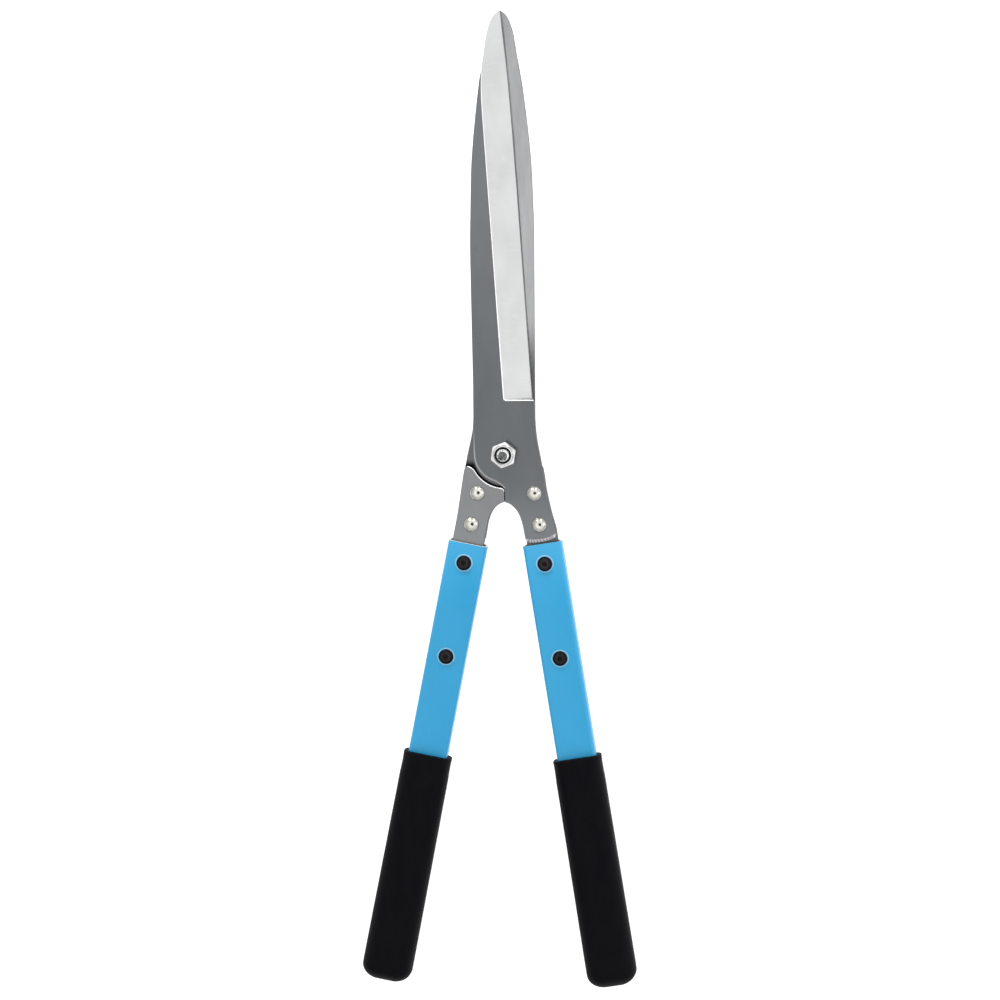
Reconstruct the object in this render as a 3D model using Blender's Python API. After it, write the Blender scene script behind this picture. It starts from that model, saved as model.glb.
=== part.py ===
"""Hedge shears: two steel blades crossed on a pivot bolt, each riveted to a tang
plate that runs into a rectangular tube handle with a slip-on grip.

The shears lie flat and closed. +Z is up through the pivot bolt, +Y points to the
blade tips, and the origin is on the pivot axis under the bolt's head.
Each half is drawn in a half frame: the pivot at its origin, the blade's spine on
the -X side, the handle on the +X side and the plane between the blades at Z = 0.
The right half keeps that frame. The left half is turned over about Y.
"""

import math

import bmesh
import bpy
from mathutils import Matrix, Vector

MM = 0.001
GAP = 0.3

# heights above the surface the shears rest on, in millimetres
BOLT_HEAD_HEIGHT = 6.4
WASHER_THICKNESS = 1.6
BLADE_THICKNESS = 4.0
REAR_LAYER = BOLT_HEAD_HEIGHT + GAP + WASHER_THICKNESS + GAP
MID_PLANE = REAR_LAYER + BLADE_THICKNESS + GAP / 2
BLADE_TOP = MID_PLANE + GAP / 2 + BLADE_THICKNESS

# blades
BLADE_TIP = 286.0
BEVEL_STEP = 0.4
BEVEL_WIDTH = 18.7
EDGE_THICKNESS = 0.7
BEVEL_CORNER = 1.2
HONED_WIDTH = 0.9
HONED_EDGE = 0.15
BOSS_CENTRE = (-0.9, 0.5)
BOSS_RADIUS = 18.8
STOP_EDGE = 0.25
STOP_BOTTOM = 31.0

# tangs and the plates that run into the handles
HANDLE_OFFSET = {"left": 12.4, "right": 15.25}
HANDLE_SPLAY = {"left": 11.48, "right": 8.53}
TANG_HALF_WIDTH = 10.2
TANG_END = 57.6
PLATE_ARC_RADIUS = 22.0
PLATE_END = 142.0

# tube handles and grips, measured along the handle from the pivot's level
TUBE_WIDTH = 25.2
TUBE_HEIGHT = 13.0
TUBE_CORNER = 2.6
TUBE_WALL = 1.2
TUBE_MOUTH = 58.7
TUBE_END = 342.0
BLOCK_START = 62.0
BLOCK_END = 142.0
BLOCK_WIDTH = 20.4
GRIP_START = {"left": 199.2, "right": 199.6}
GRIP_LENGTH = 152.0
GRIP_THICKNESS = 2 * MID_PLANE
GRIP_WIDTH_TOP = 31.4
GRIP_WIDTH_END = 32.6
GRIP_CORNER = 10.2
GRIP_END_ROUND = 11.0
GRIP_END_FULLNESS = 2.35
GRIP_LIP_ROUND = 0.8

# fasteners
PIVOT_DIAMETER = 10.0
PIVOT_ACROSS_FLATS = 15.0
PIVOT_POINT_DIAMETER = 8.3
PIVOT_RECESS_DIAMETER = 6.0
WASHER_DIAMETER = 20.0
NUT_HEX_HEIGHT = 5.6
NUT_HEIGHT = 7.8
NUT_TURN = 9.0
LOCK_RING_OUTER = 12.0
LOCK_RING_INNER = 8.9
RIVET_ALONG = {"upper": 25.9, "lower": 46.6}
RIVET_HEAD = 9.6
RIVET_HEAD_HEIGHT = 2.5
RIVET_SHANK = 5.0
SCREW_ALONG = {"upper": 71.7, "lower": 133.9}
SCREW_HEAD = 9.6
SCREW_HEAD_HEIGHT = 2.75
SCREW_SHANK = 5.0
SCREW_SOCKET = 3.0
SCREW_NUT_FLATS = 8.0
SCREW_NUT_HEIGHT = 4.0

# outlines in the half frame, each drawn as a smooth curve through its points
SPINE = [(19.6, 44), (20.3, 109), (20.4, 142), (19.35, 181), (18.0, 200.5), (16.0, 220),
         (13.6, 239.5), (10.9, 255.6), (9.6, 264.4), (8.1, 273.0), (5.9, 279.8)]
CUTTING_EDGE = [(19.1, 35.2), (12.9, 135.4), (8.6, 201.4), (5.35, 244.6), (3.4, 263.4),
                (2.1, 275.8), (1.2, 285.4)]
BEVEL_BORDER = [(0.45, 35.2), (-5.3, 136), (-9.7, 197.8), (-11.6, 230), (-11.4, 256)]
OUTER_EDGE = {
    "left": [(20.8, 14.5), (23.8, 1), (25.6, -8), (26.9, -15), (28.3, -24), (30.5, -37.5)],
    "right": [(21.0, 12), (23.0, 0), (24.5, -8), (25.7, -15), (26.9, -24), (29.8, -37.5)],
}
SHOULDER = [(-4.9, -18.3), (-2.75, -19.7), (-1.1, -21.1), (-0.1, -22.2), (STOP_EDGE, -23.4)]
CROTCH = [(3.6, -32.4), (7.4, -35.9), (9.8, -40.2), (11.3, -45.0)]

# colour, metallic and roughness
DARK_STEEL = ("dark_steel", (0.165, 0.172, 0.18), 0.85, 0.42)
PLATE_STEEL = ("plate_steel", (0.26, 0.26, 0.265), 0.85, 0.45)
BRIGHT_STEEL = ("bright_zinc", (0.62, 0.62, 0.62), 0.95, 0.25)
NICKEL = ("nickel", (0.58, 0.57, 0.53), 0.95, 0.22)
BLUE_PAINT = ("blue_paint", (0.058, 0.413, 0.73), 0.1, 0.4)
BLACK_OXIDE = ("black_oxide", (0.012, 0.012, 0.014), 0.5, 0.4)
BLACK_NYLON = ("black_nylon", (0.01, 0.01, 0.012), 0.0, 0.5)
GREY_NYLON = ("grey_nylon", (0.2, 0.2, 0.2), 0.0, 0.6)
BLACK_RUBBER = ("black_rubber", (0.009, 0.009, 0.011), 0.0, 0.7)


def material(look):
    """A Principled material from its name, colour, metallic and roughness."""
    name, colour, metallic, roughness = look
    found = bpy.data.materials.get(name)
    if found:
        return found
    made = bpy.data.materials.new(name)
    made.use_nodes = True
    shader = made.node_tree.nodes["Principled BSDF"]
    shader.inputs["Base Color"].default_value = (*colour, 1.0)
    shader.inputs["Metallic"].default_value = metallic
    shader.inputs["Roughness"].default_value = roughness
    return made


def smooth_curve(points, steps=6):
    """A smooth curve through the points, with a number of steps in each stretch."""
    pts = [Vector(p) for p in points]
    first = pts[0] * 2 - pts[1]
    last = pts[-1] * 2 - pts[-2]
    pts = [first] + pts + [last]
    curve = []
    for a, b, c, d in zip(pts, pts[1:], pts[2:], pts[3:]):
        for i in range(steps):
            t = i / steps
            curve.append(0.5 * (2 * b + (c - a) * t + (2 * a - 5 * b + 4 * c - d) * t ** 2
                                + (3 * b - a - 3 * c + d) * t ** 3))
    curve.append(pts[-2])
    return [(p.x, p.y) for p in curve]


def arc(centre, radius, start, end, steps):
    """Points along an arc, with its angles in degrees."""
    points = []
    for i in range(steps + 1):
        angle = math.radians(start + (end - start) * i / steps)
        points.append((centre[0] + radius * math.cos(angle), centre[1] + radius * math.sin(angle)))
    return points


def rounded_rectangle(width, height, corner, steps=5):
    """A rounded rectangle about the origin, anticlockwise."""
    x = width / 2 - corner
    y = height / 2 - corner
    points = []
    for centre, start in (((x, y), 0), ((-x, y), 90), ((-x, -y), 180), ((x, -y), 270)):
        points += arc(centre, corner, start, start + 90, steps)
    return points


def on_handle(side, along, across=0.0):
    """The half-frame point at a distance along a handle and across it, outwards positive."""
    splay = math.radians(HANDLE_SPLAY[side])
    x = HANDLE_OFFSET[side] + along * math.sin(splay) + across * math.cos(splay)
    y = across * math.sin(splay) - along * math.cos(splay)
    return x, y


def extruded(points, bottom, top):
    """A closed prism on an outline, in millimetres."""
    bm = bmesh.new()
    base = bm.faces.new([bm.verts.new((x * MM, y * MM, bottom * MM)) for x, y in points])
    raised = bmesh.ops.extrude_face_region(bm, geom=[base])["geom"]
    lifted = [item for item in raised if isinstance(item, bmesh.types.BMVert)]
    bmesh.ops.translate(bm, verts=lifted, vec=(0, 0, (top - bottom) * MM))
    bmesh.ops.recalc_face_normals(bm, faces=bm.faces)
    bm.normal_update()
    for face in bm.faces:
        face.smooth = abs(face.normal.z) < 0.5
    return bm


def turned(profile, segments=40, ring=False):
    """A profile of (radius, height) points in millimetres turned about Z."""
    bm = bmesh.new()
    verts = [bm.verts.new((r * MM, 0, z * MM)) for r, z in profile]
    pairs = list(zip(verts, verts[1:]))
    if ring:
        pairs.append((verts[-1], verts[0]))
    edges = [bm.edges.new(pair) for pair in pairs]
    bmesh.ops.spin(bm, geom=verts + edges, cent=(0, 0, 0), axis=(0, 0, 1),
                   angle=2 * math.pi, steps=segments)
    bmesh.ops.remove_doubles(bm, verts=bm.verts, dist=0.01 * MM)
    bmesh.ops.recalc_face_normals(bm, faces=bm.faces)
    for face in bm.faces:
        face.smooth = True
    return bm


def hexagon(across_flats, bottom, top, turn=0.0):
    """A hexagonal prism with a corner pointing along +Y, turned clockwise in degrees."""
    points = arc((0, 0), across_flats / math.sqrt(3), 90 - turn, 390 - turn, 5)
    return extruded(points, bottom, top)


def add_object(name, bm, look, parent=None, location=(0, 0, 0), rotation=(0, 0, 0)):
    """An object from a mesh, its smooth faces parted at sharp edges."""
    mesh = bpy.data.meshes.new(name)
    bm.to_mesh(mesh)
    smooth = [face.smooth for face in bm.faces]
    bm.free()
    mesh.set_sharp_from_angle(angle=math.radians(35))
    mesh.polygons.foreach_set("use_smooth", smooth)
    mesh.materials.append(material(look))
    made = bpy.data.objects.new(name, mesh)
    bpy.context.collection.objects.link(made)
    made.parent = parent
    made.location = Vector(location) * MM
    made.rotation_euler = rotation
    return made


def combine(target, bm, operation="DIFFERENCE"):
    """A Boolean of the target with a shape given in the target's own frame."""
    label = "cutter_" + target.name + "_" + str(len(target.modifiers))
    tool = add_object(label, bm, GREY_NYLON, target)
    tool.hide_render = True
    tool.display_type = "WIRE"
    boolean = target.modifiers.new(operation.lower(), "BOOLEAN")
    boolean.operation = operation
    boolean.solver = "EXACT"
    boolean.object = tool


def holes(places, diameter, bottom, top, segments=24):
    """Cylinders for drilling, at a list of (x, y) places."""
    bm = bmesh.new()
    for x, y in places:
        centre = Matrix.Translation((x * MM, y * MM, (bottom + top) / 2 * MM))
        bmesh.ops.create_cone(bm, cap_ends=True, segments=segments, radius1=diameter / 2 * MM,
                              radius2=diameter / 2 * MM, depth=(top - bottom) * MM, matrix=centre)
    return bm


def add_empty(name, parent=None, location=(0, 0, 0), rotation=(0, 0, 0)):
    """An empty that a group of pieces is parented to."""
    made = bpy.data.objects.new(name, None)
    bpy.context.collection.objects.link(made)
    made.parent = parent
    made.location = Vector(location) * MM
    made.rotation_euler = rotation
    return made


def blade_outline(side):
    """The blade from its tang's end up the cutting edge, over the tip and down the spine."""
    corner = [on_handle(side, 50.5, TANG_HALF_WIDTH)]
    outer = [(19.9, 34.4), (20.1, 25.0)] + OUTER_EDGE[side] + corner
    spine = [(-x, y) for x, y in reversed(SPINE)]
    tip = [CUTTING_EDGE[-1], (0.8, BLADE_TIP), (-0.7, BLADE_TIP - 0.3), (-3.6, 283.6), spine[0]]
    boss = arc(BOSS_CENTRE, BOSS_RADIUS, 180, 252, 14)
    inner = [(STOP_EDGE, -STOP_BOTTOM)] + CROTCH + [on_handle(side, 50.5, -TANG_HALF_WIDTH)]
    end = [on_handle(side, TANG_END + drop, across) for across, drop in
           ((-TANG_HALF_WIDTH, -3.6), (-9.3, -1.6), (-6.2, -0.5), (0, 0),
            (6.2, -0.6), (9.2, -2.0), (TANG_HALF_WIDTH, -4.2))]
    shoulder = smooth_curve([boss[-1]] + SHOULDER, 3)
    points = list(reversed(smooth_curve(outer, 4)))
    points += smooth_curve(CUTTING_EDGE, 5)[:-1]
    points += smooth_curve(tip, 3)[:-1]
    points += smooth_curve(spine, 5)
    points += boss[:-1]
    points += shoulder
    points += smooth_curve(inner, 4)[:-1]
    points += smooth_curve(end, 3)
    return points


def bevel_height(x, y):
    """The height of the ground bevel, a plane that falls from its border to the edge."""
    fall = (BLADE_THICKNESS - BEVEL_STEP - EDGE_THICKNESS) / BEVEL_WIDTH
    along = (Vector(BEVEL_BORDER[2]) - Vector(BEVEL_BORDER[0])).normalized()
    from_foot = Vector((x, y)) - Vector(BEVEL_BORDER[0])
    across = from_foot.x * along.y - from_foot.y * along.x
    return GAP / 2 + BLADE_THICKNESS - BEVEL_STEP - fall * across


def bevel_cutter():
    """What grinding takes off the blade: everything above the bevel."""
    border = smooth_curve(BEVEL_BORDER, 4)
    foot = border[0]
    corner = arc((foot[0] + BEVEL_CORNER, foot[1] + BEVEL_CORNER), BEVEL_CORNER, 180, 270, 4)
    points = corner + [(30, foot[1]), (30, 300), (border[-1][0], 300)]
    points += list(reversed(border))[:-1]
    bm = extruded(points, 0, GAP / 2 + BLADE_THICKNESS + 2)
    for vert in bm.verts:
        if vert.co.z < 0.5 * MM:
            vert.co.z = bevel_height(vert.co.x / MM, vert.co.y / MM) * MM
    return bm


def honing_cutter():
    """What honing takes off the cutting edge: a narrow strip at a steeper slope."""
    curve = [Vector(p) for p in smooth_curve(CUTTING_EDGE, 2)]
    curve[0] += (curve[1] - curve[0]).normalized() * 0.3
    curve.append(curve[-1] + (curve[-1] - curve[-2]).normalized() * 3)
    bm = bmesh.new()
    sections = []
    for i, point in enumerate(curve):
        way = (curve[min(i + 1, len(curve) - 1)] - curve[max(i - 1, 0)]).normalized()
        inwards = Vector((-way.y, way.x))
        inner = point + inwards * HONED_WIDTH
        edge = GAP / 2 + HONED_EDGE
        slope = (bevel_height(inner.x, inner.y) - edge) / HONED_WIDTH
        section = []
        for reach, raised in ((HONED_WIDTH + 0.4, 0), (-0.5, 0), (-0.5, 3), (HONED_WIDTH + 0.4, 3)):
            spot = point + inwards * reach
            z = edge + slope * reach + raised
            section.append(bm.verts.new((spot.x * MM, spot.y * MM, z * MM)))
        sections.append(section)
    for one, other in zip(sections, sections[1:]):
        for i in range(4):
            j = (i + 1) % 4
            bm.faces.new((one[i], one[j], other[j], other[i]))
    bm.faces.new(sections[0])
    bm.faces.new(sections[-1])
    bmesh.ops.recalc_face_normals(bm, faces=bm.faces)
    return bm


def add_blade(name, side, parent):
    """A blade with its ground bevel, the pivot hole and the two rivet holes."""
    low = GAP / 2
    high = low + BLADE_THICKNESS
    turned_over = (0, math.pi, 0) if side == "left" else (0, 0, 0)
    blade = add_object(name, extruded(blade_outline(side), low, high), DARK_STEEL,
                       parent, rotation=turned_over)
    combine(blade, bevel_cutter())
    combine(blade, honing_cutter())
    combine(blade, holes([(0, 0)], PIVOT_DIAMETER + 2 * GAP, low - 1, high + 1, 48))
    places = [on_handle(side, along) for along in RIVET_ALONG.values()]
    combine(blade, holes(places, RIVET_SHANK + 2 * GAP, low - 1, high + 1))
    return blade


def plate_outline(side):
    """The tang plate from its end in the tube up the outer edge and back down the inner edge."""
    corner = (OUTER_EDGE[side][2][0] + 0.2, -9.4)
    outer = [corner] + OUTER_EDGE[side][3:] + [on_handle(side, 50.5, TANG_HALF_WIDTH)]
    top = [corner, (OUTER_EDGE[side][2][0] - 1.2, -7.9), (22.4, -8.0), (20.3, -9.4)]
    hollow = arc((0, 0), PLATE_ARC_RADIUS, -27, -83, 14)
    stop = [(0.9, -22.4), (STOP_EDGE, -23.4)]
    inner = [(STOP_EDGE, -STOP_BOTTOM)] + CROTCH + [on_handle(side, 50.5, -TANG_HALF_WIDTH)]
    end = [on_handle(side, PLATE_END, -TANG_HALF_WIDTH + 2),
           on_handle(side, PLATE_END, TANG_HALF_WIDTH - 2)]
    points = [on_handle(side, PLATE_END - 2, TANG_HALF_WIDTH)]
    points += list(reversed(smooth_curve(outer, 4)))
    points += smooth_curve(top, 3)[1:-1]
    points += hollow + stop
    points += smooth_curve(inner, 4)
    points += [on_handle(side, PLATE_END - 2, -TANG_HALF_WIDTH)] + end
    return points


def add_tang_plate(name, side, parent):
    """A plate in the layer beyond the blade's tang, drilled for its rivets and screws."""
    low = -GAP / 2 - BLADE_THICKNESS
    high = -GAP / 2
    turned_over = (0, math.pi, 0) if side == "left" else (0, 0, 0)
    plate = add_object(name, extruded(plate_outline(side), low, high), PLATE_STEEL,
                       parent, rotation=turned_over)
    rivets = [on_handle(side, along) for along in RIVET_ALONG.values()]
    screws = [on_handle(side, along) for along in SCREW_ALONG.values()]
    combine(plate, holes(rivets + screws, RIVET_SHANK + 2 * GAP, low - 1, high + 1))
    return plate


def dome(radius, height, base, steps=4):
    """A low dome's profile from its rim up to its crown on the axis."""
    sphere = (radius ** 2 + height ** 2) / (2 * height)
    spread = math.asin(radius / sphere)
    points = []
    for i in range(steps + 1):
        angle = spread * (1 - i / steps)
        points.append((sphere * math.sin(angle), base + height - sphere + sphere * math.cos(angle)))
    points[-1] = (0.0, base + height)
    return points


def add_rivet(name, along, handle):
    """A rivet with a domed head on each face of the two steel layers."""
    stack = BLADE_THICKNESS + GAP * 1.5
    rim = RIVET_HEAD / 2
    shank = RIVET_SHANK / 2
    upper = dome(rim, RIVET_HEAD_HEIGHT - 0.3, stack + 0.3)
    lower = [(r, -z) for r, z in reversed(upper)]
    profile = lower + [(rim, -stack), (shank, -stack), (shank, stack), (rim, stack)] + upper
    return add_object(name, turned(profile, 24), NICKEL, handle, (0, -along, 0))


def add_handle_tube(name, handle):
    """A rounded rectangular tube, open at both ends and drilled through for two screws."""
    length = TUBE_END - TUBE_MOUTH
    outside = extruded(rounded_rectangle(TUBE_WIDTH, TUBE_HEIGHT, TUBE_CORNER), 0, length)
    bore = extruded(rounded_rectangle(TUBE_WIDTH - 2 * TUBE_WALL, TUBE_HEIGHT - 2 * TUBE_WALL,
                                      TUBE_CORNER - TUBE_WALL), -2, length + 2)
    lay_down = Matrix.Rotation(math.pi / 2, 4, "X")
    for shape in (outside, bore):
        bmesh.ops.transform(shape, matrix=lay_down, verts=shape.verts)
        bmesh.ops.translate(shape, verts=shape.verts, vec=(0, -TUBE_MOUTH * MM, 0))
    tube = add_object(name, outside, BLUE_PAINT, handle)
    combine(tube, bore)
    places = [(0, -along) for along in SCREW_ALONG.values()]
    combine(tube, holes(places, SCREW_SHANK + 2 * GAP, -TUBE_HEIGHT, TUBE_HEIGHT))
    return tube


def add_packing_block(name, plate_above, handle):
    """The block that fills the tube on the side of the plate where there is more room."""
    inside = TUBE_HEIGHT / 2 - TUBE_WALL - GAP
    near_plate = GAP * 0.5
    low, high = (-inside, -near_plate) if plate_above else (near_plate, inside)
    half = BLOCK_WIDTH / 2
    outline = [(-half, -BLOCK_END), (half, -BLOCK_END), (half, -BLOCK_START), (-half, -BLOCK_START)]
    block = add_object(name, extruded(outline, low, high), GREY_NYLON, handle)
    places = [(0, -along) for along in SCREW_ALONG.values()]
    combine(block, holes(places, SCREW_SHANK + 2 * GAP, -TUBE_HEIGHT, TUBE_HEIGHT))
    return block


def add_handle_screw(name, along, handle):
    """A button-head screw through the tube and the plate, with a hexagon socket."""
    seat = TUBE_HEIGHT / 2 + GAP
    end = -TUBE_HEIGHT / 2 - GAP - SCREW_NUT_HEIGHT - 0.8
    shank = SCREW_SHANK / 2
    crown = dome(SCREW_HEAD / 2, SCREW_HEAD_HEIGHT - 0.5, seat + 0.5)
    profile = [(0, end), (shank - 0.5, end), (shank, end + 0.5), (shank, seat), (SCREW_HEAD / 2, seat)]
    screw = add_object(name, turned(profile + crown, 24), BLACK_OXIDE, handle, (0, -along, 0))
    top = seat + SCREW_HEAD_HEIGHT
    combine(screw, hexagon(SCREW_SOCKET, top - 1.7, top + 1))
    return screw


def add_screw_nut(name, along, handle):
    """The hexagon nut at the back of a handle screw, its corners turned off."""
    top = -TUBE_HEIGHT / 2 - GAP
    bottom = top - SCREW_NUT_HEIGHT
    nut = add_object(name, hexagon(SCREW_NUT_FLATS, bottom, top), BLACK_OXIDE, handle, (0, -along, 0))
    corner = SCREW_NUT_FLATS / math.sqrt(3)
    flat = SCREW_NUT_FLATS / 2 - 0.2
    drop = (corner + 0.1 - flat) * math.tan(math.radians(30))
    limits = [(0, bottom), (flat, bottom), (corner + 0.1, bottom + drop),
              (corner + 0.1, top + 1), (0, top + 1)]
    combine(nut, turned(limits, 24), "INTERSECT")
    combine(nut, holes([(0, 0)], SCREW_SHANK + 2 * GAP, bottom - 1, top + 1))
    return nut


def add_grip(name, handle, start):
    """A grip that widens slightly to its rounded end, bored to slip over the tube."""
    stations = []
    for i in range(4):
        lean = math.radians(90 * i / 3)
        inset = GRIP_LIP_ROUND * (1 - math.sin(lean))
        stations.append((start + GRIP_LIP_ROUND * (1 - math.cos(lean)), inset))
    stations += [(start + 50, 0), (start + 100, 0)]
    half = GRIP_WIDTH_END / 2
    for inset in (0, 0.15, 0.5, 1.1, 2.0, 3.3, 5.2, 8.0, 11.5):
        near = 1 - (1 - inset / half) ** GRIP_END_FULLNESS
        drop = GRIP_END_ROUND * (1 - near ** (1 / GRIP_END_FULLNESS))
        stations.append((start + GRIP_LENGTH - drop, inset))
    bm = bmesh.new()
    loops = []
    for along, inset in stations:
        share = (along - start) / GRIP_LENGTH
        width = GRIP_WIDTH_TOP + (GRIP_WIDTH_END - GRIP_WIDTH_TOP) * share - 2 * inset
        height = GRIP_THICKNESS - 2 * inset
        corner = min(max(GRIP_CORNER - inset, 1.0), height / 2 - 0.2)
        ring = [bm.verts.new((x * MM, -along * MM, z * MM))
                for x, z in rounded_rectangle(width, height, corner, 6)]
        loops.append([bm.edges.new(pair) for pair in zip(ring, ring[1:] + ring[:1])])
        if along == stations[0][0] or along == stations[-1][0]:
            bm.faces.new(ring)
    for one, other in zip(loops, loops[1:]):
        bmesh.ops.bridge_loops(bm, edges=one + other)
    bmesh.ops.recalc_face_normals(bm, faces=bm.faces)
    for face in bm.faces:
        face.smooth = True
    grip = add_object(name, bm, BLACK_RUBBER, handle)
    bore = extruded(rounded_rectangle(TUBE_WIDTH + 2 * GAP, TUBE_HEIGHT + 2 * GAP, TUBE_CORNER + GAP),
                    0, TUBE_END + GAP - start + 5)
    bmesh.ops.transform(bore, matrix=Matrix.Rotation(math.pi / 2, 4, "X"), verts=bore.verts)
    bmesh.ops.translate(bore, verts=bore.verts, vec=(0, (5 - start) * MM, 0))
    combine(grip, bore)
    return grip


def add_pivot_bolt(parent):
    """The pivot bolt: hexagon head below, shank through both blades, point in the nut."""
    shank = PIVOT_DIAMETER / 2
    point = PIVOT_POINT_DIAMETER / 2
    recess = PIVOT_RECESS_DIAMETER / 2
    step = BLADE_TOP + GAP + 3.2
    end = BLADE_TOP + GAP + NUT_HEIGHT + 0.9
    corner = PIVOT_ACROSS_FLATS / math.sqrt(3)
    flat = PIVOT_ACROSS_FLATS / 2 - 0.3
    drop = (corner + 0.1 - flat) * math.tan(math.radians(30))
    bolt = add_object("pivot_bolt", hexagon(PIVOT_ACROSS_FLATS, 0, BOLT_HEAD_HEIGHT), BRIGHT_STEEL, parent)
    limits = [(0, 0), (flat, 0), (corner + 0.1, drop), (corner + 0.1, BOLT_HEAD_HEIGHT + 1),
              (0, BOLT_HEAD_HEIGHT + 1)]
    combine(bolt, turned(limits, 48), "INTERSECT")
    profile = [(0, BOLT_HEAD_HEIGHT - 2), (shank, BOLT_HEAD_HEIGHT - 2), (shank, step - 0.6),
               (point, step), (point, end - 0.7), (point - 0.5, end), (recess + 0.2, end),
               (recess, end - 0.5), (0, end - 0.5)]
    combine(bolt, turned(profile, 48), "UNION")
    return bolt


def add_pivot_washer(parent):
    """The flat washer between the bolt's head and the rear blade."""
    low = BOLT_HEAD_HEIGHT + GAP
    inner = PIVOT_DIAMETER / 2 + GAP
    outer = WASHER_DIAMETER / 2
    profile = [(inner, low), (outer, low), (outer, low + WASHER_THICKNESS), (inner, low + WASHER_THICKNESS)]
    return add_object("pivot_washer", turned(profile, 48, ring=True), BRIGHT_STEEL, parent)


def add_pivot_nut(parent):
    """The lock nut: a hexagon with turned corners and a round collar over its locking ring."""
    low = BLADE_TOP + GAP
    shoulder = low + NUT_HEX_HEIGHT
    high = low + NUT_HEIGHT
    flat = PIVOT_ACROSS_FLATS / 2 - 0.2
    corner = PIVOT_ACROSS_FLATS / math.sqrt(3) + 0.1
    drop = (corner - flat) * math.tan(math.radians(28))
    nut = add_object("pivot_nut", hexagon(PIVOT_ACROSS_FLATS, low, high, NUT_TURN), BRIGHT_STEEL, parent)
    limits = [(0, low), (flat, low), (corner, low + drop), (corner, shoulder - drop),
              (flat - 0.2, shoulder), (7.1, shoulder), (6.9, high - 0.9), (6.2, high), (0, high)]
    combine(nut, turned(limits, 48), "INTERSECT")
    pocket = LOCK_RING_OUTER / 2 + GAP
    bore = PIVOT_DIAMETER / 2 + GAP
    floor = low + 3.4
    inside = [(0, low - 1), (bore, low - 1), (bore, floor), (pocket, floor), (pocket, high - 0.9),
              (LOCK_RING_OUTER / 2 - 0.6, high - 0.9), (LOCK_RING_OUTER / 2 - 0.6, high + 1), (0, high + 1)]
    combine(nut, turned(inside, 48))
    return nut


def add_lock_ring(parent):
    """The black ring under the nut's collar that grips the bolt."""
    low = BLADE_TOP + GAP + 3.4 + GAP
    high = BLADE_TOP + GAP + NUT_HEIGHT - 0.9 - GAP
    outer = LOCK_RING_OUTER / 2
    inner = LOCK_RING_INNER / 2
    profile = [(inner, low), (outer, low), (outer, high), (inner, high)]
    return add_object("nut_lock_ring", turned(profile, 48, ring=True), BLACK_NYLON, parent)


def add_half(side, blade_name):
    """One half of the shears on an empty at the pivot, its handle on a splayed empty."""
    sign = -1 if side == "left" else 1
    half = add_empty(side + "_half", location=(0, 0, MID_PLANE))
    handle = add_empty(side + "_handle", half, (sign * HANDLE_OFFSET[side], 0, 0),
                       (0, 0, sign * math.radians(HANDLE_SPLAY[side])))
    add_blade(blade_name, side, half)
    add_tang_plate(side + "_tang_plate", side, half)
    for place, along in RIVET_ALONG.items():
        add_rivet(side + "_" + place + "_rivet", along, handle)
    add_handle_tube(side + "_handle_tube", handle)
    add_packing_block(side + "_packing_block", side == "left", handle)
    for place, along in SCREW_ALONG.items():
        add_handle_screw(side + "_" + place + "_screw", along, handle)
        add_screw_nut(side + "_" + place + "_screw_nut", along, handle)
    add_grip(side + "_grip", handle, GRIP_START[side])


def main():
    for old in list(bpy.data.objects):
        bpy.data.objects.remove(old)
    add_half("left", "rear_blade")
    add_half("right", "front_blade")
    pivot = add_empty("pivot")
    add_pivot_bolt(pivot)
    add_pivot_washer(pivot)
    add_pivot_nut(pivot)
    add_lock_ring(pivot)


main()
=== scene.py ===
"""Hedge shears: the detailed, visible pieces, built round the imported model.

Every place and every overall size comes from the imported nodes. Blades, tang plates and
packing blocks are copies of their nodes with worked edges. Tubes, grips and fasteners are
lofted from rings, those of a handle in the handle's own frame: its origin is on the tube's
axis at the upper screw, +Y up the handle towards the blades and +Z up through the screws.
"""

import math

import bmesh
import bpy
from mathutils import Matrix, Vector, noise


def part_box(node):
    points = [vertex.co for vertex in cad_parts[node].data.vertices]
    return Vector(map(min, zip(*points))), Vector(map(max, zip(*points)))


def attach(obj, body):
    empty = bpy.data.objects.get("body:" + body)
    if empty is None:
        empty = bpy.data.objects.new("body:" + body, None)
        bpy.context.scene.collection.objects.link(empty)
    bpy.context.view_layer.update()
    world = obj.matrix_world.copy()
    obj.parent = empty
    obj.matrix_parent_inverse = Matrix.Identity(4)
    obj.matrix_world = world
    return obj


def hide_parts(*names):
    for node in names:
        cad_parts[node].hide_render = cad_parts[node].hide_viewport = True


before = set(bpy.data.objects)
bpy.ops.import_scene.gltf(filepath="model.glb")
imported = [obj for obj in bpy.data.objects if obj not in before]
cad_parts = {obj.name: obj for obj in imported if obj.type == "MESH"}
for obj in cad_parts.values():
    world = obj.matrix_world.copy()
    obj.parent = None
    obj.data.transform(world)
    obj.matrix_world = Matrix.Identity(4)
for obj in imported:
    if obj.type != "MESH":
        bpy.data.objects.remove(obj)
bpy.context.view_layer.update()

MM = 0.001
REAR = "rear_half"
FRONT = "front_half"
HANDLES = (("left", REAR), ("right", FRONT))
LEVELS = ("upper", "lower")

# the camera looks down at the shears, tilted a little from straight above; in degrees and metres
CAMERA_TILT = 6.0
CAMERA_ROLL = 0.67
CAMERA_DISTANCE = 6.0
CAMERA_SENSOR = 36.0
VIEW_WIDTH = 0.6457
VIEW_SHIFT = (0.00303, 0.02996)

# the tent of light: the way towards its dark opening for the lens, and its brightness
# by the cosine of the angle from there
LENS_WAY = Vector((0.14, 0.1, 0.98))
TENT = [(0.0, 0.35), (0.5, 0.62), (0.8, 0.97), (0.93, 0.97), (0.957, 0.1), (1.0, 0.02)]
TENT_STRENGTH = 1.2

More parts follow.
